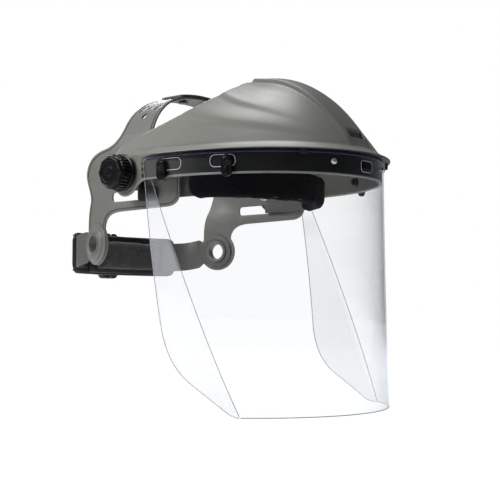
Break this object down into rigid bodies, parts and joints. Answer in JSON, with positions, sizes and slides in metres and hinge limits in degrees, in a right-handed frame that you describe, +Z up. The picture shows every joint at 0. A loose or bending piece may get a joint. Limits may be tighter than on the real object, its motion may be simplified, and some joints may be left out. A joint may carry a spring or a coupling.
{
  "type": "face shield",
  "caption": "Clear wraparound window on a hinged brow crown, worn on an adjustable headband with side tension knobs, a brow pad and a rear ratchet knob.",
  "frame": {"origin": "in the middle of the head space, on the symmetry plane, level with the lower edge of the crown's band", "axes": "+Z up, -Y the way the wearer looks, +X to the wearer's left"},
  "size_m": [0.2352, 0.3083, 0.2723],
  "materials": {
    "crown": "satin mid-grey injection-moulded thermoplastic, smooth with a soft gloss",
    "window": "clear polished polycarbonate sheet with a moulded crease on each side",
    "headband_grey": "mid-grey flexible polyethylene with a fine matt grain",
    "strap_grey": "darker grey flexible polyethylene, matt",
    "black_plastic": "black moulded plastic with a semi-gloss skin",
    "pad_cloth": "black brushed towelling over foam",
    "steel": "plated steel"
  },
  "bodies": {
    "headgear": {"headband_left": "headband_grey", "headband_right": "headband_grey", "strap_peg_1": "headband_grey", "strap_peg_2": "headband_grey", "brow_band": "strap_grey", "slide_block_left": "black_plastic", "slide_block_right": "black_plastic", "brow_pad": "pad_cloth", "pivot_hub_left": "black_plastic", "pivot_hub_right": "black_plastic", "pivot_bolt_left": "steel", "pivot_bolt_right": "steel", "friction_washer_left": "black_plastic", "friction_washer_right": "black_plastic", "nape_rivet_left": "headband_grey", "nape_rivet_right": "headband_grey"},
    "visor": {"crown": "crown", "window": "window", "front_stud_left": "steel", "front_stud_right": "steel", "tab_stud_right_rear": "black_plastic", "tab_nut_right_rear": "black_plastic", "tab_stud_right_front": "black_plastic", "tab_nut_right_front": "black_plastic", "tab_stud_left_front": "black_plastic", "tab_nut_left_front": "black_plastic", "tab_stud_left_rear": "black_plastic", "tab_nut_left_rear": "black_plastic"},
    "tab_right_rear": {"window_tab_right_rear": "black_plastic"},
    "tab_right_front": {"window_tab_right_front": "black_plastic"},
    "tab_left_front": {"window_tab_left_front": "black_plastic"},
    "tab_left_rear": {"window_tab_left_rear": "black_plastic"},
    "knob_left": {"side_knob_left": "black_plastic", "knob_insert_left": "steel"},
    "knob_right": {"side_knob_right": "black_plastic", "knob_insert_right": "steel"},
    "nape": {"nape_strap_left": "strap_grey", "nape_strap_right": "strap_grey", "ratchet_guide": "black_plastic", "ratchet_housing": "black_plastic", "nape_pad": "pad_cloth"},
    "ratchet": {"ratchet_knob": "black_plastic", "ratchet_pinion": "black_plastic"}
  },
  "joints": [
    {"name": "visor_lift", "type": "hinge", "parent": "headgear", "child": "visor", "pos_m": [0, 0.037, 0.006], "axis": [-1, 0, 0], "range_deg": [0, 75]},
    {"name": "tab_turn_right_rear", "type": "hinge", "parent": "visor", "child": "tab_right_rear", "pos_m": [-0.10175, -0.009, 0.009], "axis": [-0.9985, -0.0552, 0], "range_deg": [0, 90]},
    {"name": "tab_turn_right_front", "type": "hinge", "parent": "visor", "child": "tab_right_front", "pos_m": [-0.08878, -0.06352, 0.009], "axis": [-0.9128, -0.4084, 0], "range_deg": [-90, 0]},
    {"name": "tab_turn_left_front", "type": "hinge", "parent": "visor", "child": "tab_left_front", "pos_m": [0.08878, -0.06352, 0.009], "axis": [0.9128, -0.4084, 0], "range_deg": [0, 90]},
    {"name": "tab_turn_left_rear", "type": "hinge", "parent": "visor", "child": "tab_left_rear", "pos_m": [0.10175, -0.009, 0.009], "axis": [0.9985, -0.0552, 0], "range_deg": [-90, 0]},
    {"name": "knob_turn_left", "type": "hinge", "parent": "headgear", "child": "knob_left", "pos_m": [0.11, 0.037, 0.006], "axis": [1, 0, 0], "range_deg": [0, 360]},
    {"name": "knob_turn_right", "type": "hinge", "parent": "headgear", "child": "knob_right", "pos_m": [-0.11, 0.037, 0.006], "axis": [-1, 0, 0], "range_deg": [0, 360]},
    {"name": "nape_swing", "type": "hinge", "parent": "headgear", "child": "nape", "pos_m": [0, 0.093, -0.048], "axis": [1, 0, 0], "range_deg": [-20, 25]},
    {"name": "ratchet_turn", "type": "hinge", "parent": "nape", "child": "ratchet", "pos_m": [0, 0.16, -0.053], "axis": [0, 1, 0], "range_deg": [-180, 360]}
  ]
}
